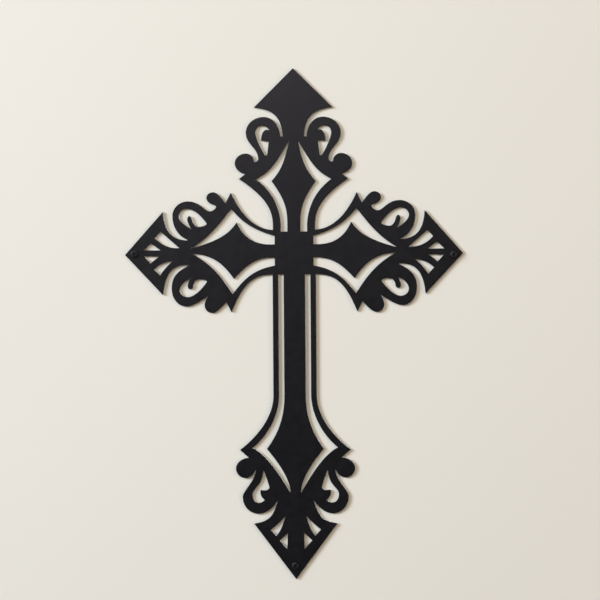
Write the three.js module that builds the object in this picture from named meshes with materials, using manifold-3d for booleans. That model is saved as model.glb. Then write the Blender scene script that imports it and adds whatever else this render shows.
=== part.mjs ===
// A flat ornamental cross of black sheet steel, cut out in one piece and fixed by three screws.
// Sizes are in millimetres. The cross is drawn lying down, x to the right and y up the cross, with the back
// of the sheet at height 0 and the middle of the crossing at the origin. Then it is stood up, facing -Y.
import * as THREE from 'three';
import { mergeVertices } from 'three/addons/utils/BufferGeometryUtils.js';
import Module from 'manifold-3d';

const wasm = await Module();
wasm.setup();

// The sheet, and how far each arm reaches from the middle of the crossing to its point
const SHEET_THICKNESS = 2;
const TOP_REACH = 163.7;
const SIDE_REACH = 149;
const BOTTOM_REACH = 286.6;

// The solid crossing, from its middle to where the slots of each arm begin
const CROSSING_TOP = 19.7;
const CROSSING_SIDE = 17.1;
const CROSSING_BOTTOM = 17.9;

// The stem below the crossing: half its width, the slot beside it, the rail outside that, and how far above
// the bottom point they start to flare
const STEM_HALF = 9.4;
const STEM_SLOT = 4.8;
const STEM_RAIL = 4.85;
const STEM_FLARE = 162.3;

// The three screws and their holes
const SIDE_SCREW_BACK = 8.3;
const LEFT_SCREW_RISE = 0.8;
const RIGHT_SCREW_RISE = -1.3;
const BOTTOM_SCREW_BACK = 12;
const BOTTOM_SCREW_SHIFT = -0.6;
const HEAD_RADIUS = 3.2;
const HEAD_HEIGHT = 2;
const HEAD_RIM = 0.7;
const SEAT_GAP = 0.3;
const SHANK_RADIUS = 1.7;
const SHANK_LENGTH = 25;
const SHANK_POINT = 4;
const HOLE_CLEARANCE = 0.5;
const RECESS_LENGTH = 4;
const RECESS_WIDTH = 1.2;
const RECESS_DEPTH = 1.5;

// How finely the curves are cut into straight stretches, in millimetres and degrees
const FACET_LENGTH = 2.6;
const SHORTEST_FACET = 0.4;
const FACET_TURN = 14;
const SCREW_SIDES = 20;
const DOME_STEPS = 4;
const CUT_OVERRUN = 1;

// Headings in degrees: out along the arm, away from its centre line, back to the crossing, and inwards
const OUT = 0;
const AWAY = 90;
const BACK = 180;
const INWARD = 270;

// Each arm is drawn as two halves. A place on a half is [back, side]: back from the arm's point towards the
// crossing, and sideways from the centre line. A turn is [heading where a curve leaves, heading where it
// arrives]. Its third number makes the curve fuller or flatter than a round one, its fourth the far end only.
const TOP = {
  reach: TOP_REACH,
  root: { from: CROSSING_TOP, blade: 5.8, slot: 5.8, band: 7, straightTo: 26 },
  head: { barb: [34.4, 34.6], neck: [60.1, 9.4], turn: [263, 184, 1.3] },
  scroll: { start: [60.1, 11.4], turn: [5, AWAY, 1.05], crest: [42.9, 26], flank: [56.9, 41.9] },
  inlet: { near: [79.8, 31.1], far: [81.4, 34.9], entryTurn: [BACK, BACK, 1.15], turn: [BACK, 5] },
  ball: { crest: [75, 41.9], flank: [83.7, 51.8], notch: [93.2, 42.7], turn: [BACK, 255] },
  spike: [97.4, 48.1],
  band: { outerTurn: [236, BACK, 1.15], corner: [97.8, 33.3], innerTurn: [235, 182, 1.35, 0.6] },
  blade: { riseTurn: [OUT, 36, 1, 1.4], shoulder: [99.4, 19.5], fallTurn: [317, 349, 1.15] },
  slot: { blade: [64.4, 4.2], collar: [64.4, 4.6], turn: [151, 119, 1.3] },
  eye: {
    gap: [54.7, 21], turn: [30, AWAY], crestWall: 7.5, crestSide: 27.6, flankWall: 8.5, flankBack: 56.4,
    foot: [76.8, 25.1], footTurn: [BACK, 210], instep: [76.7, 23.2],
    hook: { heel: [64.9, 21.8], sole: [64.1, 22.6], toe: [63.8, 28.5], turn: [358, 245, 1.3] },
  },
};

const SIDE_UPPER = {
  reach: SIDE_REACH,
  root: { from: CROSSING_SIDE, blade: 8.5, slot: 7.4, band: 5.3 },
  head: { barb: [33.6, 37.8], neck: [54.8, 12.4], turn: [266, 184, 1.25] },
  scroll: { start: [54.8, 13.2], turn: [22, AWAY], crest: [41.9, 34], flank: [55.8, 46.9] },
  inlet: { near: [74.8, 38], far: [79.4, 43.2], entryTurn: [BACK, BACK, 1.45, 0.6], turn: [BACK, 15] },
  ball: { crest: [72, 49.8], flank: [78, 54.8], notch: [88.8, 44.9], turn: [BACK, 238] },
  spike: [93.5, 54.2],
  band: { outerTurn: [245, 184, 1.1], corner: [93.8, 40.3], innerTurn: [232, 197, 1.15] },
  blade: { riseTurn: [357, 66, 1.15], shoulder: [98.5, 28.2], fallTurn: [302, 345, 1.12] },
  slot: { blade: [59, 5.6], collar: [59, 6], turn: [149, 127, 1.15] },
  eye: {
    gap: [58.5, 22.4], turn: [28, AWAY], crestWall: 5.6, crestSide: 34, flankWall: 6.5, flankBack: 54.5,
    foot: [72, 27.5], footTurn: [BACK, 235], instep: [71.8, 26.3],
    curl: {
      belly: [64.5, 24.3], bellyTurn: [330, OUT], side: [59.1, 31], sideTurn: [OUT, 76],
      end: [57, 33.9], endTurn: [76, OUT], back: [55, 31], backTurn: [OUT, INWARD], turn: [INWARD, 240],
    },
  },
  tear: {
    tip: [48, 5.8], barbTurn: [41, 42], barbSide: [31.2, 20.6],
    pointSide: [26.3, 15], pointTurn: [230, 175],
  },
  wedge: { near: [31.4, 3.8], top: [22.8, 10.2], far: [16.4, 4] },
};

const SIDE_LOWER = {
  reach: SIDE_REACH,
  root: { from: CROSSING_SIDE, blade: 3, slot: 7.2, band: 7.8 },
  head: { barb: [33.2, 35.6], neck: [56.6, 8.9], turn: [264, BACK, 1.3] },
  scroll: { start: [56.6, 9.3], turn: [27, AWAY, 1.25], crest: [40.9, 30], flank: [53.7, 45.8] },
  inlet: { near: [72.7, 36.4], far: [72.7, 36.8], entryTurn: [BACK, 217], turn: [217, 60] },
  ball: { crest: [69.8, 44.4], flank: [76.5, 51.7], notch: [88.9, 41.8], turn: [BACK, 232] },
  spike: [93.5, 51],
  band: { outerTurn: [248, BACK, 1.25], corner: [94.6, 35.1], innerTurn: [233, 191, 1.2] },
  blade: { riseTurn: [OUT, 48, 1.2], shoulder: [95.8, 21.7], fallTurn: [304, 355, 1.15] },
  slot: { blade: [59.8, -0.8], collar: [59.8, -0.4], turn: [150, 122, 1.15] },
  eye: {
    gap: [57.4, 20.7], turn: [25, AWAY], crestWall: 7.1, crestSide: 31, flankWall: 8.3, flankBack: 55,
    foot: [71.9, 24.3], footTurn: [BACK, 235], instep: [71.7, 23.2],
    curl: {
      belly: [66, 21.8], bellyTurn: [330, OUT], side: [59.7, 27.8], sideTurn: [OUT, 88],
      end: [57.3, 30.6], endTurn: [88, OUT], back: [55, 27.6], backTurn: [OUT, INWARD], turn: [INWARD, 245],
    },
  },
  tear: {
    tip: [42.4, 5.3], barbTurn: [38, 58], barbSide: [30.8, 18.3],
    pointSide: [25.6, 12.7], pointTurn: [227, 185],
  },
  wedge: { near: [30.2, 1.2], top: [22.5, 7.6], far: [16.8, 1.4] },
};

const BOTTOM = {
  reach: BOTTOM_REACH,
  root: {
    from: CROSSING_BOTTOM, blade: STEM_HALF, slot: STEM_SLOT, band: STEM_RAIL,
    straightTo: BOTTOM_REACH - STEM_FLARE,
  },
  head: { barb: [48.9, 36.6], neck: [69.1, 15.7], turn: [260, 198, 1.4] },
  scroll: { start: [69.1, 16.4], turn: [30, AWAY], crest: [57.7, 32.8], flank: [72.7, 46.7] },
  inlet: { near: [96.5, 34.8], far: [96.5, 35.3], entryTurn: [BACK, 189, 0.6, 1.3], turn: [189, 25] },
  ball: { crest: [89.2, 43.8], flank: [97.9, 52.5], notch: [107.1, 41], turn: [BACK, 265] },
  spike: [114.1, 48.7],
  band: { outerTurn: [233, BACK], corner: [115.8, 37.6], innerTurn: [231, BACK, 0.95] },
  blade: { riseTurn: [OUT, 37, 1.05], shoulder: [114.9, 25.1], fallTurn: [320, OUT] },
  slot: { blade: [76.7, 4.6], collar: [76.5, 5], turn: [150, 118, 1.1] },
  eye: {
    gap: [69.6, 27.3], turn: [45, AWAY], crestWall: 9.5, crestSide: 32.8, flankWall: 8.6, flankBack: 74.5,
    foot: [95.8, 28.6], footTurn: [BACK, 182, 0.8, 1.8], instep: [95.6, 27.6],
    hook: { heel: [81.3, 23.1], sole: [78.2, 27], toe: [78.5, 30.9], turn: [10, 315, 1.25] },
  },
  tear: {
    tip: [56.1, 9.2], barbTurn: [38, 54], barbSide: [43.5, 22.2],
    pointSide: [38, 17.2], pointTurn: [222, 193],
  },
  wedge: { near: [41, 7.2], top: [33.9, 14.4], far: [26.5, 7.6] },
};

// Clockwise round the cross from its top point, each half arm with the one that it meets at the crossing
const UP = new THREE.Vector2(0, 1);
const RIGHT = new THREE.Vector2(1, 0);
const DOWN = new THREE.Vector2(0, -1);
const LEFT = new THREE.Vector2(-1, 0);
const HALF_ARMS = [
  { arm: TOP, beside: SIDE_UPPER, along: UP, across: RIGHT },
  { arm: SIDE_UPPER, beside: TOP, along: RIGHT, across: UP },
  { arm: SIDE_LOWER, beside: BOTTOM, along: RIGHT, across: DOWN },
  { arm: BOTTOM, beside: SIDE_LOWER, along: DOWN, across: RIGHT },
  { arm: BOTTOM, beside: SIDE_LOWER, along: DOWN, across: LEFT },
  { arm: SIDE_LOWER, beside: BOTTOM, along: LEFT, across: DOWN },
  { arm: SIDE_UPPER, beside: TOP, along: LEFT, across: UP },
  { arm: TOP, beside: SIDE_UPPER, along: UP, across: LEFT },
];

const SCREWS = [
  { name: 'screw_left', x: SIDE_SCREW_BACK - SIDE_REACH, y: LEFT_SCREW_RISE },
  { name: 'screw_right', x: SIDE_REACH - SIDE_SCREW_BACK, y: RIGHT_SCREW_RISE },
  { name: 'screw_bottom', x: BOTTOM_SCREW_SHIFT, y: BOTTOM_SCREW_BACK - BOTTOM_REACH },
];

// An edge of the sheet, drawn as a cutter would run along it
class Edge {
  constructor(start) {
    this.points = [start];
  }

  line(to) {
    if (to.distanceTo(this.points.at(-1)) > 0) this.points.push(to);
    return this;
  }

  // The handles of a curve reach towards the place where its two headings cross, as far as a round curve's
  // would. Where they do not cross ahead of it, as on an S-bend, they reach for the middle of the way.
  curve(to, [leave, arrive, fullness = 1, farFullness = fullness]) {
    const from = this.points.at(-1);
    const way = to.clone().sub(from);
    const setOff = direction(leave);
    const comeIn = direction(arrive);
    const turn = setOff.angleTo(comeIn);
    const sine = setOff.cross(comeIn);
    let near = way.cross(comeIn) / sine;
    let far = setOff.cross(way) / sine;
    let share = (4 / 3) * Math.tan(turn / 4) / Math.tan(turn / 2);
    if (!(near > 0 && far > 0)) {
      near = far = way.length() / 2;
      share = 2 / 3;
    }
    const bezier = new THREE.CubicBezierCurve(
      from,
      setOff.multiplyScalar(near * share * fullness).add(from),
      comeIn.multiplyScalar(-far * share * farFullness).add(to),
      to,
    );
    const length = bezier.getLength();
    const forTurn = Math.min(THREE.MathUtils.radToDeg(turn) / FACET_TURN, length / SHORTEST_FACET);
    const stretches = Math.ceil(Math.max(length / FACET_LENGTH, forTurn));
    this.points.push(...bezier.getPoints(stretches).slice(1));
    return this;
  }
}

function direction(degrees) {
  const angle = THREE.MathUtils.degToRad(degrees);
  return new THREE.Vector2(Math.cos(angle), Math.sin(angle));
}

function placeOn(arm, [back, side]) {
  return new THREE.Vector2(arm.reach - back, side);
}

function rootHalf({ root }) {
  return root.blade + root.slot + root.band;
}

// From the arm's point round the head, scroll, ball and spike, and down the band to the crossing's corner
function outerEdge(arm, beside) {
  const at = (place) => placeOn(arm, place);
  const { head, scroll, inlet, ball, band, root } = arm;
  const corner = new THREE.Vector2(rootHalf(beside), rootHalf(arm));
  const flare = new THREE.Vector2(root.straightTo ?? corner.x, corner.y);
  return new Edge(at([0, 0]))
    .line(at(head.barb))
    .curve(at(head.neck), head.turn)
    .line(at(scroll.start))
    .curve(at(scroll.crest), scroll.turn)
    .curve(at(scroll.flank), [AWAY, BACK])
    .curve(at(inlet.near), inlet.entryTurn)
    .curve(at(inlet.far), inlet.turn)
    .curve(at(ball.crest), [inlet.turn[1], AWAY])
    .curve(at(ball.flank), [AWAY, BACK])
    .curve(at(ball.notch), ball.turn)
    .line(at(arm.spike))
    .curve(flare, band.outerTurn)
    .line(corner)
    .points;
}

// The long opening between the blade in the middle of the arm and the band beside it
function slotEdge(arm) {
  const at = (place) => placeOn(arm, place);
  const { blade, slot, band, root } = arm;
  const straightTo = root.straightTo ?? root.from;
  const bandSide = root.blade + root.slot;
  return new Edge(new THREE.Vector2(root.from, root.blade))
    .line(new THREE.Vector2(straightTo, root.blade))
    .curve(at(blade.shoulder), blade.riseTurn)
    .curve(at(slot.blade), blade.fallTurn)
    .line(at(slot.collar))
    .curve(at(band.corner), slot.turn)
    .curve(new THREE.Vector2(straightTo, bandSide), band.innerTurn)
    .line(new THREE.Vector2(root.from, bandSide))
    .points;
}

// The eye of the scroll, with a hook or a thin curl standing into it
function eyeEdge(arm) {
  const at = (place) => placeOn(arm, place);
  const { scroll, eye } = arm;
  const edge = new Edge(at(eye.gap))
    .curve(at([scroll.crest[0] + eye.crestWall, eye.crestSide]), eye.turn)
    .curve(at([eye.flankBack, scroll.flank[1] - eye.flankWall]), [AWAY, BACK])
    .curve(at(eye.foot), eye.footTurn)
    .line(at(eye.instep));
  if (eye.hook) {
    return edge.line(at(eye.hook.heel))
      .curve(at(eye.hook.sole), [OUT, AWAY])
      .line(at(eye.hook.toe))
      .curve(at(eye.gap), eye.hook.turn)
      .points
      .slice(1);
  }
  return edge.curve(at(eye.curl.belly), eye.curl.bellyTurn)
    .curve(at(eye.curl.side), eye.curl.sideTurn)
    .curve(at(eye.curl.end), eye.curl.endTurn)
    .curve(at(eye.curl.back), eye.curl.backTurn)
    .curve(at(eye.gap), eye.curl.turn)
    .points
    .slice(1);
}

// The openings that fan out across the head
function tearEdge(arm) {
  const at = (place) => placeOn(arm, place);
  return new Edge(at(arm.tear.tip))
    .curve(at(arm.tear.barbSide), arm.tear.barbTurn)
    .line(at(arm.tear.pointSide))
    .curve(at(arm.tear.tip), arm.tear.pointTurn)
    .points
    .slice(1);
}

function wedgeEdge(arm) {
  const { near, top, far } = arm.wedge;
  return [near, top, far].map((place) => placeOn(arm, place));
}

// Turns points along and across a half arm into points on the sheet
function layOut(points, { along, across }) {
  return points.map((point) => along.clone().multiplyScalar(point.x).addScaledVector(across, point.y));
}

function outline() {
  const edges = HALF_ARMS.map((half, index) => {
    const points = layOut(outerEdge(half.arm, half.beside), half);
    return index % 2 === 0 ? points.slice(1) : points.slice(0, -1).reverse();
  });
  return edges.flat();
}

function openings() {
  return HALF_ARMS.flatMap((half) => {
    const edges = [slotEdge(half.arm), eyeEdge(half.arm)];
    if (half.arm.tear) edges.push(tearEdge(half.arm), wedgeEdge(half.arm));
    return edges.map((points) => layOut(points, half));
  });
}

// A flat shape given thickness, from one height up to another
function slab(points, bottom, top) {
  const depth = top - bottom;
  const geometry = new THREE.ExtrudeGeometry(new THREE.Shape(points), { depth, bevelEnabled: false });
  return geometry.translate(0, 0, bottom);
}

function toSolid(geometry) {
  const bare = geometry.clone();
  bare.deleteAttribute('normal');
  bare.deleteAttribute('uv');
  const welded = mergeVertices(bare);
  return new wasm.Manifold(new wasm.Mesh({
    numProp: 3,
    vertProperties: new Float32Array(welded.attributes.position.array),
    triVerts: new Uint32Array(welded.index.array),
  }));
}

function toGeometry(solid) {
  const mesh = solid.getMesh();
  const geometry = new THREE.BufferGeometry();
  geometry.setAttribute('position', new THREE.BufferAttribute(mesh.vertProperties, 3));
  geometry.setIndex(new THREE.BufferAttribute(mesh.triVerts, 1));
  geometry.computeVertexNormals();
  return geometry;
}

function sheetGeometry() {
  const cutTop = SHEET_THICKNESS + CUT_OVERRUN;
  let sheet = toSolid(slab(outline(), 0, SHEET_THICKNESS));
  for (const opening of openings()) sheet = sheet.subtract(toSolid(slab(opening, -CUT_OVERRUN, cutTop)));
  for (const { x, y } of SCREWS) {
    const hole = new THREE.CylinderGeometry(
      SHANK_RADIUS + HOLE_CLEARANCE, SHANK_RADIUS + HOLE_CLEARANCE, cutTop + CUT_OVERRUN, SCREW_SIDES,
    );
    hole.rotateX(Math.PI / 2).translate(x, y, SHEET_THICKNESS / 2);
    sheet = sheet.subtract(toSolid(hole));
  }
  return toGeometry(sheet);
}

// A pan-headed wood screw along the z axis, with the seat of its head just above the front of the sheet
function screwGeometry() {
  const seat = SHEET_THICKNESS + SEAT_GAP;
  const tip = seat - SHANK_LENGTH;
  const profile = [
    new THREE.Vector2(0, tip),
    new THREE.Vector2(SHANK_RADIUS, tip + SHANK_POINT),
    new THREE.Vector2(SHANK_RADIUS, seat),
    new THREE.Vector2(HEAD_RADIUS, seat),
  ];
  const rim = seat + HEAD_RIM;
  for (let step = 0; step < DOME_STEPS; step += 1) {
    const lean = (Math.PI / 2) * (step / DOME_STEPS);
    const dome = (HEAD_HEIGHT - HEAD_RIM) * Math.sin(lean);
    profile.push(new THREE.Vector2(HEAD_RADIUS * Math.cos(lean), rim + dome));
  }
  profile.push(new THREE.Vector2(0, seat + HEAD_HEIGHT));
  let screw = toSolid(new THREE.LatheGeometry(profile, SCREW_SIDES).rotateX(Math.PI / 2));
  const depth = RECESS_DEPTH + CUT_OVERRUN;
  const middle = seat + HEAD_HEIGHT + CUT_OVERRUN - depth / 2;
  for (const [width, length] of [[RECESS_WIDTH, RECESS_LENGTH], [RECESS_LENGTH, RECESS_WIDTH]]) {
    screw = screw.subtract(toSolid(new THREE.BoxGeometry(width, length, depth).translate(0, 0, middle)));
  }
  return toGeometry(screw);
}

const blackCoat = new THREE.MeshStandardMaterial({ color: '#232225', roughness: 0.6, metalness: 0 });
const blackScrew = new THREE.MeshStandardMaterial({ color: '#1d1c1f', roughness: 0.45, metalness: 0.3 });

const cross = new THREE.Group();
cross.rotation.x = Math.PI / 2;

const sheet = new THREE.Mesh(sheetGeometry(), blackCoat);
sheet.name = 'cross_plate';
cross.add(sheet);

for (const { name, x, y } of SCREWS) {
  const screw = new THREE.Mesh(screwGeometry(), blackScrew);
  screw.name = name;
  screw.position.set(x, y, 0);
  cross.add(screw);
}

export default cross;
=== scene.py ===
import math

import bmesh
import bpy
from bpy.props import FloatProperty, FloatVectorProperty, IntProperty, PointerProperty
from mathutils import Matrix, Vector


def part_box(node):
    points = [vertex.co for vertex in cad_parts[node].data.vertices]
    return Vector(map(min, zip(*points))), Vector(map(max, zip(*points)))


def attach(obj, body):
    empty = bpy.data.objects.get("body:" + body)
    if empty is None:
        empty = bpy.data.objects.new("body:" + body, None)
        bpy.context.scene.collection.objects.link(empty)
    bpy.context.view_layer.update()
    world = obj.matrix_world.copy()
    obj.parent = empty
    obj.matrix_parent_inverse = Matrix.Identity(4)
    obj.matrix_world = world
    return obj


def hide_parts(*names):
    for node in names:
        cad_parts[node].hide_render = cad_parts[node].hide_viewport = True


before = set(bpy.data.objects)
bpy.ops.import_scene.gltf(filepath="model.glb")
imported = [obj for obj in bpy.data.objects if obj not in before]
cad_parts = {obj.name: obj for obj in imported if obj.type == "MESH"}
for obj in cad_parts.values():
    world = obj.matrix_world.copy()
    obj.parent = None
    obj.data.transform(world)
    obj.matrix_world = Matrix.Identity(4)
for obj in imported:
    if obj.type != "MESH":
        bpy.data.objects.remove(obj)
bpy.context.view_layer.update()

bl_info = {
    "name": "Black sheet steel wall cross",
    "version": (1, 0, 0),
    "blender": (4, 5, 0),
    "location": "3D View > Sidebar > Cross",
    "description": "Builds the coated sheet and its three screws, and sets the stage they are seen on",
    "category": "Object",
}

SHEET = "cross_plate"
# How far each screw was left turned, in degrees
SCREWS = {"screw_left": 24, "screw_right": -13, "screw_bottom": 38}
# Points closer than this are one point
SAME_PLACE = 1e-6

# A turn sharper than this is a corner of the cut, and a longer stretch between two turns is straight
CORNER_TURN = math.radians(24)
STRAIGHT_RUN = 0.00265
CORNER_POINTS = 4
CORNER_SHARE = 0.4

# The rim moves inward at most 1 / SHARPEST_REACH of its radius, and less where its points would cross
RIM_STEPS = 3
SHARPEST_REACH = 0.5
EASING_ROUNDS = 40
EASING = 0.8
SHORTEST_STEP = 0.15
# The sheet has more faces than this once its curves are drawn
FEWEST_FACES = 1000

# The recess's mouth and foot as shares of its width, and its inner corners as a share of an arm's half
MOUTH_LENGTH, MOUTH_WIDTH = 1.12, 0.37
FOOT_LENGTH, FOOT_WIDTH = 0.5, 0.24
INNER_CORNER = 1.5
MOUTH_RISE = 0.0006
# It is turned off the edges of the head's own mesh, so that the cut meets none of them end to end
RECESS_TURN = math.radians(2.3)

# The pan head: rings over its dome, the height where the dome starts, its fullness, and its foot
HEAD_STEPS = 14
RIM_SHARE = 0.4
FULLNESS = 3.2
FOOT_RISE, FOOT_SHARE = 0.1, 0.97
SHARP_TURN = math.radians(38)

# The thread: rings for each turn, how broad its crest is, and how core and crest run out at the point
RINGS_PER_TURN = 12
CREST_SHARE = 0.3
CORE_TAPER, CREST_TAPER = 0.8, 0.5
NECK_SHARE = 0.35

# Where the head is lightened in a ring round the recess, from its middle to its rim: partly driver
# wear, partly a painted highlight
WEAR_AND_HIGHLIGHT_MIDDLE, WEAR_AND_HIGHLIGHT_REACH = 0.5, 0.35

# Where a Mix node for colours keeps its two inputs and its result
MIX_A, MIX_B, MIX_RESULT = 6, 7, 2
# How far the roughness of the coat strays from its setting
SATIN_SPREAD = 0.05

# The stage in metres, and the middle of the view on the front of the sheet
BACKDROP_GAP = 0.0002
STAGE_REACH = 120
FLOOR_HEIGHT = -1.6
BACKDROP_TOP = 30
VIEW_X, VIEW_Z = 0.00495, -0.0407

# Tints of the lights and of the surround
COOL = (0.85, 0.915, 1)
WARM = (1, 0.90, 0.74)
AMBER = (1, 0.72, 0.45)
NEUTRAL = (1, 0.97, 0.93)
SURROUND = (1, 0.88, 0.70)


class CrossSheetSettings(bpy.types.PropertyGroup):
    curve_steps: IntProperty(
        name="Curve steps", description="Stretches drawn for each facet of a curved edge",
        default=3, min=1, max=8)
    rim_radius: FloatProperty(
        name="Rim radius", description="How far the coat rounds the cut edges",
        default=0.0003, min=0.00005, max=0.0008, unit="LENGTH")
    corner_cut: FloatProperty(
        name="Corner softness", description="How far from a corner the cut starts to turn",
        default=0.00022, min=0, max=0.001, unit="LENGTH")
    colour: FloatVectorProperty(
        name="Coat", description="Colour of the powder coat", subtype="COLOR",
        default=(0.0019, 0.0018, 0.0024), min=0, max=1)
    thin_colour: FloatVectorProperty(
        name="Thin coat", description="Colour where the coat is thinner, along the rims",
        subtype="COLOR", default=(0.005, 0.0048, 0.0050), min=0, max=1)
    sheen_tint: FloatVectorProperty(
        name="Sheen tint", description="Tint of what the satin coat reflects", subtype="COLOR",
        default=(0.69, 0.715, 0.92), min=0, max=1)
    roughness: FloatProperty(
        name="Roughness", description="Roughness of the satin coat",
        default=0.38, min=0, max=1, subtype="FACTOR")
    grain: FloatProperty(
        name="Grain", description="Size of the coat's orange peel", default=0.0008, min=0.0001,
        max=0.005, unit="LENGTH")
    grain_depth: FloatProperty(
        name="Grain depth", description="Depth of the coat's orange peel", default=0.00002, min=0,
        max=0.0002, unit="LENGTH")


class CrossScrewSettings(bpy.types.PropertyGroup):
    sides: IntProperty(
        name="Sides", description="Stretches round the screw", default=48, min=16, max=96)
    pitch: FloatProperty(
        name="Thread pitch", description="Distance between two turns of the thread",
        default=0.0015, min=0.0008, max=0.003, unit="LENGTH")
    thread_depth: FloatProperty(
        name="Thread depth", description="Height of the thread over its core",
        default=0.0005, min=0.0001, max=0.001, unit="LENGTH")
    shank_radius: FloatProperty(
        name="Shank radius", description="Radius over the crests of the thread",
        default=0.0017, min=0.0008, max=0.003, unit="LENGTH")
    neck: FloatProperty(
        name="Neck", description="Length of the plain neck under the head",
        default=0.0035, min=0, max=0.01, unit="LENGTH")
    point: FloatProperty(
        name="Point", description="Length of the tapered point", default=0.005, min=0.001,
        max=0.01, unit="LENGTH")
    recess: FloatProperty(
        name="Recess", description="Width of the cross recess from arm to arm",
        default=0.0040, min=0.001, max=0.005, unit="LENGTH")
    recess_depth: FloatProperty(
        name="Recess depth", description="Depth of the cross recess", default=0.0016, min=0.0005,
        max=0.002, unit="LENGTH")
    colour: FloatVectorProperty(
        name="Finish", description="Colour of the blackened steel", subtype="COLOR",
        default=(0.0085, 0.0086, 0.0095), min=0, max=1)
    sheen_tint: FloatVectorProperty(
        name="Sheen tint", description="Tint of what the blackened steel reflects", subtype="COLOR",
        default=(0.78, 0.84, 1.0), min=0, max=1)
    # The ring's lighter colour stands for driver wear and is also a painted highlight for the head's
    # shine
    worn_and_highlight_colour: FloatVectorProperty(
        name="Worn finish", description="Colour where a driver has rubbed the recess",
        subtype="COLOR", default=(0.070, 0.072, 0.078), min=0, max=1)


class CrossStageSettings(bpy.types.PropertyGroup):
    backdrop_colour: FloatVectorProperty(
        name="Backdrop", description="Colour of the backdrop", subtype="COLOR",
        default=(0.850, 0.849, 0.815), min=0, max=1)
    key: FloatProperty(
        name="Key light", description="Power of the large light far to the left",
        default=294, min=0, unit="POWER")
    front: FloatProperty(
        name="Front light", description="Power of the soft light above the camera", default=18.5,
        min=0, unit="POWER")
    bounce: FloatProperty(
        name="Bounce light", description="Power of the warm light from the right", default=38,
        min=0, unit="POWER")
    back: FloatProperty(
        name="Back light", description="Power of the light behind the cross, for views from there",
        default=110, min=0, unit="POWER")
    surround: FloatProperty(
        name="Surround", description="Brightness of the surround as the cross sees it",
        default=0.15, min=0, max=2)
    lens: FloatProperty(
        name="Lens", description="Focal length of the camera on a 36 mm frame", default=85, min=20,
        max=200)
    frame_width: FloatProperty(
        name="View width", description="Width of backdrop in view", default=0.5287, min=0.1,
        max=2, unit="LENGTH")
    roll: FloatProperty(
        name="Roll", description="How far the camera leans to its right", subtype="ANGLE",
        default=math.radians(0.39))


def rim_loops(node):
    """The closed edges of a flat node's front as lists of (x, z), with the metal on the left."""
    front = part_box(node)[0].y
    bm = bmesh.new()
    bm.from_mesh(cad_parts[node].data)
    bmesh.ops.remove_doubles(bm, verts=bm.verts, dist=SAME_PLACE)
    faces = [f for f in bm.faces if all(abs(v.co.y - front) < SAME_PLACE for v in f.verts)]
    if not faces:
        raise RuntimeError(f"{node} has no flat front")
    flat = set(faces)
    following = {}
    for face in faces:
        for corner in face.loops:
            if not any(f in flat for f in corner.edge.link_faces if f is not face):
                following[corner.vert.index] = corner.link_loop_next.vert.index
    bm.verts.ensure_lookup_table()
    loops = []
    while following:
        start, vertex = following.popitem()
        loop = [start]
        while vertex != start:
            loop.append(vertex)
            vertex = following.pop(vertex)
        loops.append([Vector((bm.verts[i].co.x, bm.verts[i].co.z)) for i in loop])
    bm.free()
    return loops


def end_directions(points):
    """The direction of a closed line at each of its points, None at a corner."""
    count = len(points)
    steps = [points[(i + 1) % count] - points[i] for i in range(count)]
    directions = []
    for i in range(count):
        before, after = steps[i - 1], steps[i]
        long_before, long_after = before.length > STRAIGHT_RUN, after.length > STRAIGHT_RUN
        if abs(before.angle_signed(after)) > CORNER_TURN or (long_before and long_after):
            directions.append(None)
        elif long_before or long_after:
            directions.append((before if long_before else after).normalized())
        else:
            blend = before / before.length_squared + after / after.length_squared
            directions.append(blend.normalized())
    return directions


def between(start, end, leave, arrive, t):
    """The point at t of the curve that leaves start and arrives at end in those directions."""
    length = (end - start).length
    return (
        (2 * t**3 - 3 * t**2 + 1) * start + (3 * t**2 - 2 * t**3) * end
        + length * ((t**3 - 2 * t**2 + t) * leave + (t**3 - t**2) * arrive))


def curved(points, steps):
    """The line's points, with curves through its shallow turns, each with whether it is a corner."""
    directions = end_directions(points)
    count = len(points)
    line = []
    for i in range(count):
        start, end = points[i], points[(i + 1) % count]
        leave, arrive = directions[i], directions[(i + 1) % count]
        way = end - start
        line.append((start, leave is None))
        if way.length > STRAIGHT_RUN or (leave is None and arrive is None):
            continue
        chord = way.normalized()
        leave = leave or 2 * chord.dot(arrive) * chord - arrive
        arrive = arrive or 2 * chord.dot(leave) * chord - leave
        for step in range(1, steps):
            line.append((between(start, end, leave, arrive, step / steps), False))
    return line


def softened(line, cut):
    """The line with each corner taken off by a tight curve."""
    count = len(line)
    points = []
    for i, (point, is_corner) in enumerate(line):
        before, after = line[i - 1][0] - point, line[(i + 1) % count][0] - point
        if not is_corner or cut <= 0:
            points.append(point)
            continue
        start = point + before.normalized() * min(cut, CORNER_SHARE * before.length)
        end = point + after.normalized() * min(cut, CORNER_SHARE * after.length)
        for step in range(CORNER_POINTS):
            t = step / (CORNER_POINTS - 1)
            points.append((1 - t)**2 * start + 2 * t * (1 - t) * point + t**2 * end)
    return points


def inset_vectors(points, radius):
    """How each point of a closed line moves into the metal for a rim of that radius."""
    count = len(points)
    moves = []
    for i in range(count):
        before = (points[i] - points[i - 1]).normalized()
        after = (points[(i + 1) % count] - points[i]).normalized()
        inward = Vector((-before.y - after.y, before.x + after.x))
        inward = inward.normalized() if inward.length > SAME_PLACE else Vector((-after.y, after.x))
        reach = max(SHARPEST_REACH, inward.dot(Vector((-after.y, after.x))))
        moves.append(inward * radius / reach)
    for _ in range(EASING_ROUNDS):
        crossed = set()
        for i in range(count):
            j = (i + 1) % count
            step = points[j] - points[i]
            if step.dot(step + moves[j] - moves[i]) < SHORTEST_STEP * step.length_squared:
                crossed.update((i, j))
        if not crossed:
            break
        for i in crossed:
            moves[i] = moves[i] * EASING
    return moves


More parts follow.
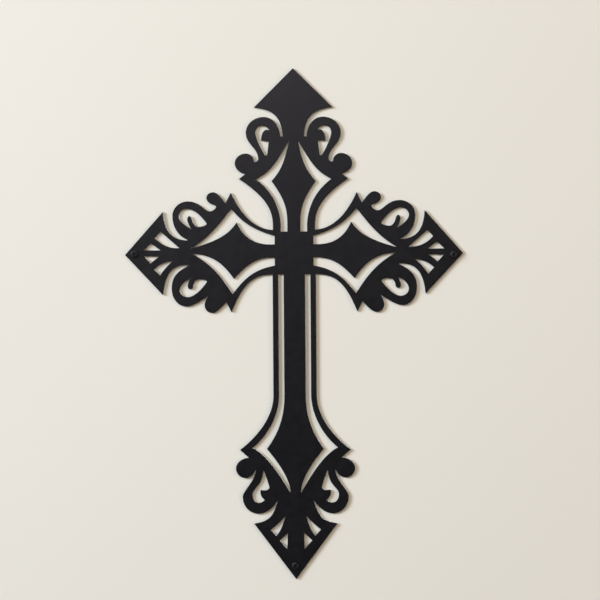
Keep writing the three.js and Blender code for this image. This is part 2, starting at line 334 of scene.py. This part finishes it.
def filled(loops, depth):
    """Flat triangles between closed lines, holes left open, at that depth."""
    curve = bpy.data.curves.new("fill", "CURVE")
    curve.dimensions = "2D"
    curve.fill_mode = "BOTH"
    for loop in loops:
        spline = curve.splines.new("POLY")
        spline.points.add(len(loop) - 1)
        for place, point in zip(spline.points, loop):
            place.co = (point.x, point.y, 0, 1)
        spline.use_cyclic_u = True
    holder = bpy.data.objects.new("fill", curve)
    bpy.context.scene.collection.objects.link(holder)
    flat = bpy.data.meshes.new_from_object(holder)
    corners = [Vector((v.co.x, depth, v.co.y)) for v in flat.vertices]
    faces = [list(p.vertices) for p in flat.polygons]
    bpy.data.objects.remove(holder)
    bpy.data.curves.remove(curve)
    bpy.data.meshes.remove(flat)
    return corners, faces


def sheet_mesh(settings):
    """The cut sheet with smooth curves and softly rounded rims, front and back."""
    low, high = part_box(SHEET)
    front, back, radius = low.y, high.y, settings.rim_radius
    loops = [softened(curved(points, settings.curve_steps), settings.corner_cut)
             for points in rim_loops(SHEET)]
    moves = [inset_vectors(loop, radius) for loop in loops]
    quarter = [math.pi / 2 * step / RIM_STEPS for step in range(RIM_STEPS + 1)]
    profile = [(1 - math.sin(lean), front + radius * (1 - math.cos(lean))) for lean in quarter]
    profile += [(share, front + back - depth) for share, depth in reversed(profile)]

    bm = bmesh.new()
    rim = bm.verts.layers.float.new("rim")
    for loop, inward in zip(loops, moves):
        rings = []
        for level, (share, depth) in enumerate(profile):
            ring = []
            for point, move in zip(loop, inward):
                place = point + move * share
                vertex = bm.verts.new((place.x, depth, place.y))
                vertex[rim] = 0 if level in (0, len(profile) - 1) else 1
                ring.append(vertex)
            rings.append(ring)
        count = len(loop)
        for outer, inner in zip(rings[1:], rings):
            for i in range(count):
                j = (i + 1) % count
                bm.faces.new((inner[i], inner[j], outer[j], outer[i])).smooth = True
    flat_loops = [[p + m for p, m in zip(loop, inward)] for loop, inward in zip(loops, moves)]
    for depth in (front, back):
        corners, faces = filled(flat_loops, depth)
        vertices = [bm.verts.new(corner) for corner in corners]
        for face in faces:
            bm.faces.new([vertices[i] for i in face])
    bmesh.ops.remove_doubles(bm, verts=bm.verts, dist=SAME_PLACE)
    bmesh.ops.recalc_face_normals(bm, faces=bm.faces)
    mesh = bpy.data.meshes.new(SHEET + "_coated")
    bm.to_mesh(mesh)
    bm.free()
    return mesh


def recess_cutter(settings, top):
    """A tapered cross that a driver's tip fits, with its mouth just above the head."""
    bm = bmesh.new()
    rings = []
    for height, length, width in (
            (top + MOUTH_RISE, MOUTH_LENGTH, MOUTH_WIDTH),
            (top - settings.recess_depth, FOOT_LENGTH, FOOT_WIDTH)):
        reach, half = settings.recess * length / 2, settings.recess * width / 2
        ring = []
        for quarter in range(4):
            spin = Matrix.Rotation(math.pi / 2 * quarter + RECESS_TURN, 3, "Z")
            for x, y in ((reach, -half), (reach, half), (half * INNER_CORNER, half * INNER_CORNER)):
                ring.append(bm.verts.new(spin @ Vector((x, y, height))))
        rings.append(ring)
    upper, lower = rings
    bm.faces.new(upper)
    bm.faces.new(list(reversed(lower)))
    count = len(upper)
    for i in range(count):
        j = (i + 1) % count
        bm.faces.new((upper[i], lower[i], lower[j], upper[j]))
    mesh = bpy.data.meshes.new("recess")
    bm.to_mesh(mesh)
    bm.free()
    return mesh


def screw_mesh(settings, head_radius, head_height, length):
    """A pan-headed screw along Z with its seat at height 0, thread and point below."""
    rim_height = RIM_SHARE * head_height
    rings = []
    for step in range(1, HEAD_STEPS + 1):
        out = step / HEAD_STEPS
        rise = (1 - out**FULLNESS) ** (1 / FULLNESS)
        height = rim_height + (head_height - rim_height) * rise
        rings.append([(head_radius * out, height)] * settings.sides)
    rings.append([(head_radius, FOOT_RISE * head_height)] * settings.sides)
    rings.append([(head_radius * FOOT_SHARE, 0)] * settings.sides)
    core = settings.shank_radius - settings.thread_depth
    steps = math.ceil(length / (settings.pitch / RINGS_PER_TURN))
    for step in range(steps):
        depth = length * step / steps
        taper = min(1, (length - depth) / settings.point)
        grown = min(1, max(0, (depth - settings.neck) / settings.pitch))
        ring = []
        for side in range(settings.sides):
            phase = (depth / settings.pitch - side / settings.sides) % 1
            crest = max(0, 1 - abs(phase - 0.5) / CREST_SHARE)
            thread = settings.thread_depth * crest * grown
            radius = core * taper**CORE_TAPER + thread * taper**CREST_TAPER
            if depth < settings.neck:
                radius = core + NECK_SHARE * settings.thread_depth
            ring.append((radius, -depth))
        rings.append(ring)

    bm = bmesh.new()
    wear_and_highlight = bm.verts.layers.float.new("wear_and_highlight")
    top = bm.verts.new((0, 0, head_height))
    tip = bm.verts.new((0, 0, -length))
    circles = []
    for ring in rings:
        circle = []
        for side, (radius, height) in enumerate(ring):
            angle = 2 * math.pi * side / settings.sides
            circle.append(bm.verts.new((radius * math.cos(angle), radius * math.sin(angle), height)))
        circles.append(circle)
    for i in range(settings.sides):
        j = (i + 1) % settings.sides
        bm.faces.new((top, circles[0][i], circles[0][j]))
        bm.faces.new((tip, circles[-1][j], circles[-1][i]))
        for upper, lower in zip(circles, circles[1:]):
            bm.faces.new((upper[i], lower[i], lower[j], upper[j]))
    # Mark a ring round the recess for a lighter colour: driver wear, and a painted highlight
    for vertex in bm.verts:
        if vertex.co.z > rim_height:
            away = vertex.co.xy.length / head_radius
            vertex[wear_and_highlight] = max(0, 1 - abs(away - WEAR_AND_HIGHLIGHT_MIDDLE) / WEAR_AND_HIGHLIGHT_REACH)
    bmesh.ops.recalc_face_normals(bm, faces=bm.faces)
    mesh = bpy.data.meshes.new("screw")
    bm.to_mesh(mesh)
    bm.free()

    body = bpy.data.objects.new("screw_blank", mesh)
    cutter = bpy.data.objects.new("recess", recess_cutter(settings, head_height))
    for part in (body, cutter):
        bpy.context.scene.collection.objects.link(part)
    cut = body.modifiers.new("Recess", "BOOLEAN")
    cut.object = cutter
    cut.operation = "DIFFERENCE"
    cut.solver = "EXACT"
    depsgraph = bpy.context.evaluated_depsgraph_get()
    finished = bpy.data.meshes.new_from_object(body.evaluated_get(depsgraph))
    for part in (body, cutter):
        bpy.data.objects.remove(part)
    finished.shade_smooth()
    finished.set_sharp_from_angle(angle=SHARP_TURN)
    return finished


def add_node(tree, kind, **values):
    """A shader node, with its settings and its sockets' values given by name."""
    node = tree.nodes.new("ShaderNode" + kind)
    for name, value in values.items():
        if hasattr(node, name):
            setattr(node, name, value)
        else:
            node.inputs[name.replace("_", " ")].default_value = value
    return node


def new_material(name):
    material = bpy.data.materials.new(name)
    material.use_nodes = True
    tree = material.node_tree
    shader = next(n for n in tree.nodes if n.type == "BSDF_PRINCIPLED")
    return material, tree, shader


def opaque(colour):
    return (*colour, 1)


def powder_coat(settings):
    """Satin black powder coat: fine orange peel, faint clouds of tone, thinner over the rims."""
    material, tree, shader = new_material("black_powder_coat")
    link = tree.links.new
    place = add_node(tree, "TexCoord").outputs["Object"]

    clouds = add_node(tree, "TexNoise", Scale=22, Detail=4, Roughness=0.6)
    link(place, clouds.inputs["Vector"])
    tone = add_node(tree, "MapRange", From_Min=0.3, From_Max=0.7, To_Min=0.82, To_Max=1.18)
    link(clouds.outputs["Fac"], tone.inputs["Value"])
    rim = add_node(tree, "Attribute", attribute_name="rim")
    coat = add_node(tree, "Mix", data_type="RGBA")
    coat.inputs[MIX_A].default_value = opaque(settings.colour)
    coat.inputs[MIX_B].default_value = opaque(settings.thin_colour)
    link(rim.outputs["Fac"], coat.inputs["Factor"])
    shaded = add_node(tree, "VectorMath", operation="SCALE")
    link(coat.outputs[MIX_RESULT], shaded.inputs[0])
    link(tone.outputs["Result"], shaded.inputs["Scale"])
    link(shaded.outputs["Vector"], shader.inputs["Base Color"])

    mottled = add_node(tree, "TexNoise", Scale=160, Detail=3)
    link(place, mottled.inputs["Vector"])
    sheen = add_node(
        tree, "MapRange", From_Min=0.3, From_Max=0.7,
        To_Min=settings.roughness - SATIN_SPREAD, To_Max=settings.roughness + SATIN_SPREAD)
    link(mottled.outputs["Fac"], sheen.inputs["Value"])
    link(sheen.outputs["Result"], shader.inputs["Roughness"])

    peel = add_node(tree, "TexNoise", Scale=1 / settings.grain, Detail=2, Roughness=0.45)
    grit = add_node(tree, "TexNoise", Scale=4 / settings.grain, Detail=1)
    link(place, peel.inputs["Vector"])
    link(place, grit.inputs["Vector"])
    fine = add_node(tree, "Bump", Strength=0.35, Distance=settings.grain_depth / 4)
    link(grit.outputs["Fac"], fine.inputs["Height"])
    coarse = add_node(tree, "Bump", Strength=0.8, Distance=settings.grain_depth)
    link(peel.outputs["Fac"], coarse.inputs["Height"])
    link(fine.outputs["Normal"], coarse.inputs["Normal"])
    link(coarse.outputs["Normal"], shader.inputs["Normal"])
    shader.inputs["Specular IOR Level"].default_value = 0.54
    shader.inputs["Specular Tint"].default_value = opaque(settings.sheen_tint)
    return material


def blackened_steel(settings):
    """Blackened screw steel: fine turning marks, a soft sheen, and a ring round the recess made
    lighter in colour, partly driver wear and partly a painted highlight.
    """
    material, tree, shader = new_material("blackened_screw_steel")
    link = tree.links.new
    place = add_node(tree, "TexCoord").outputs["Object"]

    patches = add_node(tree, "TexNoise", Scale=900, Detail=4, Roughness=0.65)
    link(place, patches.inputs["Vector"])
    wear_and_highlight = add_node(tree, "Attribute", attribute_name="wear_and_highlight")
    # Patches within the ring take the lighter colour, which is partly wear and partly a painted
    # highlight
    mottled = add_node(tree, "Math", operation="MULTIPLY")
    link(patches.outputs["Fac"], mottled.inputs[0])
    link(wear_and_highlight.outputs["Fac"], mottled.inputs[1])
    finish = add_node(tree, "Mix", data_type="RGBA")
    finish.inputs[MIX_A].default_value = opaque(settings.colour)
    finish.inputs[MIX_B].default_value = opaque(settings.worn_and_highlight_colour)
    link(mottled.outputs["Value"], finish.inputs["Factor"])
    link(finish.outputs[MIX_RESULT], shader.inputs["Base Color"])

    sheen = add_node(tree, "MapRange", From_Min=0.3, From_Max=0.7, To_Min=0.4, To_Max=0.55)
    link(patches.outputs["Fac"], sheen.inputs["Value"])
    link(sheen.outputs["Result"], shader.inputs["Roughness"])
    marks = add_node(
        tree, "TexWave", wave_type="RINGS", rings_direction="Z", Scale=1400, Distortion=1.5)
    link(place, marks.inputs["Vector"])
    relief = add_node(tree, "Bump", Strength=0.25, Distance=0.000008)
    link(marks.outputs["Fac"], relief.inputs["Height"])
    link(relief.outputs["Normal"], shader.inputs["Normal"])
    shader.inputs["Metallic"].default_value = 0.2
    shader.inputs["Specular Tint"].default_value = opaque(settings.sheen_tint)
    return material


def backdrop_paint(settings):
    """Matt paint with a faint roller texture, clear when seen from behind."""
    material, tree, shader = new_material("backdrop_paint")
    link = tree.links.new
    place = add_node(tree, "TexCoord").outputs["Object"]
    roller = add_node(tree, "TexNoise", Scale=350, Detail=3)
    link(place, roller.inputs["Vector"])
    relief = add_node(tree, "Bump", Strength=0.15, Distance=0.00005)
    link(roller.outputs["Fac"], relief.inputs["Height"])
    link(relief.outputs["Normal"], shader.inputs["Normal"])
    shader.inputs["Base Color"].default_value = opaque(settings.backdrop_colour)
    shader.inputs["Roughness"].default_value = 0.9
    shader.inputs["Specular IOR Level"].default_value = 0.1
    behind = add_node(tree, "NewGeometry").outputs["Backfacing"]
    clear = add_node(tree, "BsdfTransparent")
    either = add_node(tree, "MixShader")
    link(behind, either.inputs["Fac"])
    link(shader.outputs["BSDF"], either.inputs[1])
    link(clear.outputs["BSDF"], either.inputs[2])
    out = next(n for n in tree.nodes if n.type == "OUTPUT_MATERIAL")
    link(either.outputs["Shader"], out.inputs["Surface"])
    return material


def floor_finish(settings):
    """A pale studio floor, mostly lit from within so that the lights leave no pools on it."""
    material, tree, shader = new_material("pale_floor")
    place = add_node(tree, "TexCoord").outputs["Object"]
    speckle = add_node(tree, "TexNoise", Scale=60, Detail=4)
    tree.links.new(place, speckle.inputs["Vector"])
    tone = add_node(tree, "MapRange", From_Min=0.3, From_Max=0.7, To_Min=0.45, To_Max=0.55)
    tree.links.new(speckle.outputs["Fac"], tone.inputs["Value"])
    tree.links.new(tone.outputs["Result"], shader.inputs["Roughness"])
    shader.inputs["Base Color"].default_value = (0.07, 0.07, 0.068, 1)
    shader.inputs["Emission Color"].default_value = opaque(settings.backdrop_colour)
    shader.inputs["Emission Strength"].default_value = 0.76
    shader.inputs["Specular IOR Level"].default_value = 0.2
    return material


def add_piece(name, mesh, material):
    piece = bpy.data.objects.new(name, mesh)
    bpy.context.scene.collection.objects.link(piece)
    mesh.materials.clear()
    mesh.materials.append(material)
    return piece


class CROSS_OT_sheet(bpy.types.Operator):
    """Build the cut sheet with rounded rims and its powder coat"""
    bl_idname = "cross.sheet"
    bl_label = "Build the Sheet"

    def execute(self, context):
        settings = context.scene.cross_sheet
        sheet = add_piece("cross_sheet", sheet_mesh(settings), powder_coat(settings))
        if len(sheet.data.polygons) < FEWEST_FACES:
            raise RuntimeError("the sheet came out without its curves")
        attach(sheet, "root")
        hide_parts(SHEET)
        return {"FINISHED"}


class CROSS_OT_screws(bpy.types.Operator):
    """Build the three pan-headed screws, seated on the sheet"""
    bl_idname = "cross.screws"
    bl_label = "Build the Screws"

    def execute(self, context):
        settings = context.scene.cross_screw
        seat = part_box(SHEET)[0].y
        finish = blackened_steel(settings)
        for node, turn in SCREWS.items():
            low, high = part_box(node)
            mesh = screw_mesh(settings, (high.x - low.x) / 2, seat - low.y, high.y - seat)
            screw = add_piece(node + "_steel", mesh, finish)
            middle = (low + high) / 2
            screw.matrix_world = (
                Matrix.Translation((middle.x, seat, middle.z))
                @ Matrix.Rotation(math.pi / 2, 4, "X")
                @ Matrix.Rotation(math.radians(turn), 4, "Z"))
            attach(screw, "root")
            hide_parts(node)
        return {"FINISHED"}


def add_plane(name, corners, material):
    mesh = bpy.data.meshes.new(name)
    mesh.from_pydata([Vector(corner) for corner in corners], [], [(0, 1, 2, 3)])
    return add_piece(name, mesh, material)


def add_light(name, place, size, power, colour):
    """A rectangular light at that place, facing the middle of the crossing."""
    light = bpy.data.lights.new(name, "AREA")
    light.shape = "RECTANGLE"
    light.size, light.size_y = size
    light.energy = power
    light.color = colour
    holder = bpy.data.objects.new(name, light)
    holder.location = place
    holder.rotation_euler = Vector(place).to_track_quat("Z", "Y").to_euler()
    bpy.context.scene.collection.objects.link(holder)


class CROSS_OT_stage(bpy.types.Operator):
    """Set up the backdrop, floor, lights, surround and camera"""
    bl_idname = "cross.stage"
    bl_label = "Set the Stage"

    def execute(self, context):
        settings = context.scene.cross_stage
        side = STAGE_REACH
        backdrop = add_plane(
            "backdrop",
            [(-side, BACKDROP_GAP, FLOOR_HEIGHT), (side, BACKDROP_GAP, FLOOR_HEIGHT),
             (side, BACKDROP_GAP, BACKDROP_TOP), (-side, BACKDROP_GAP, BACKDROP_TOP)],
            backdrop_paint(settings))
        backdrop.visible_shadow = False
        backdrop.visible_diffuse = False
        backdrop.visible_glossy = False
        floor = add_plane(
            "floor",
            [(-side, -side, FLOOR_HEIGHT), (side, -side, FLOOR_HEIGHT),
             (side, side, FLOOR_HEIGHT), (-side, side, FLOOR_HEIGHT)],
            floor_finish(settings))

        floor.visible_diffuse = False
        floor.visible_glossy = False
        add_light("key", (-4.3, -2.5, 1.45), (1.9, 1.7), settings.key, COOL)
        add_light("front", (-0.4, -2.2, 1.15), (1.2, 1.2), settings.front, WARM)
        add_light("bounce", (3.5, -2.2, -0.4), (1.8, 1.8), settings.bounce, AMBER)
        add_light("behind", (1.2, 2.4, 1.0), (1.8, 1.8), settings.back, NEUTRAL)

        world = bpy.data.worlds.new("pale_surround")
        context.scene.world = world
        world.use_nodes = True
        tree = world.node_tree
        tree.nodes.clear()
        seen = add_node(tree, "Background", Color=opaque(settings.backdrop_colour), Strength=0.8)
        lit = add_node(tree, "Background", Color=opaque(SURROUND), Strength=settings.surround)
        either = add_node(tree, "MixShader")
        tree.links.new(add_node(tree, "LightPath").outputs["Is Camera Ray"], either.inputs["Fac"])
        tree.links.new(lit.outputs["Background"], either.inputs[1])
        tree.links.new(seen.outputs["Background"], either.inputs[2])
        out = add_node(tree, "OutputWorld")
        tree.links.new(either.outputs["Shader"], out.inputs["Surface"])
        context.scene.view_settings.view_transform = "Standard"

        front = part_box(SHEET)[0].y
        camera = bpy.data.cameras.new("camera")
        camera.lens = settings.lens
        holder = bpy.data.objects.new("camera", camera)
        distance = settings.frame_width * settings.lens / camera.sensor_width
        aim = Vector((VIEW_X, front, VIEW_Z))
        holder.matrix_world = (
            Matrix.Translation(aim - Vector((0, distance, 0)))
            @ Matrix.Rotation(settings.roll, 4, "Y")
            @ Matrix.Rotation(math.pi / 2, 4, "X"))
        context.scene.collection.objects.link(holder)
        context.scene.camera = holder
        return {"FINISHED"}


class CROSS_PT_panel(bpy.types.Panel):
    """The steps that build the cross, each with its settings"""
    bl_idname = "CROSS_PT_panel"
    bl_label = "Wall Cross"
    bl_space_type = "VIEW_3D"
    bl_region_type = "UI"
    bl_category = "Cross"

    def draw(self, context):
        for settings, operator in STEPS:
            box = self.layout.box()
            box.operator(operator.bl_idname)
            group = getattr(context.scene, settings)
            for name in type(group).__annotations__:
                box.prop(group, name)


GROUPS = {
    "cross_sheet": CrossSheetSettings,
    "cross_screw": CrossScrewSettings,
    "cross_stage": CrossStageSettings,
}
STEPS = [
    ("cross_sheet", CROSS_OT_sheet),
    ("cross_screw", CROSS_OT_screws),
    ("cross_stage", CROSS_OT_stage),
]
CLASSES = (*GROUPS.values(), CROSS_OT_sheet, CROSS_OT_screws, CROSS_OT_stage, CROSS_PT_panel)


def register():
    for cls in CLASSES:
        bpy.utils.register_class(cls)
    for name, group in GROUPS.items():
        setattr(bpy.types.Scene, name, PointerProperty(type=group))


def unregister():
    for name in GROUPS:
        delattr(bpy.types.Scene, name)
    for cls in reversed(CLASSES):
        bpy.utils.unregister_class(cls)


def main():
    register()
    bpy.ops.cross.stage()
    bpy.ops.cross.sheet()
    bpy.ops.cross.screws()


if __name__ == "__main__":
    main()
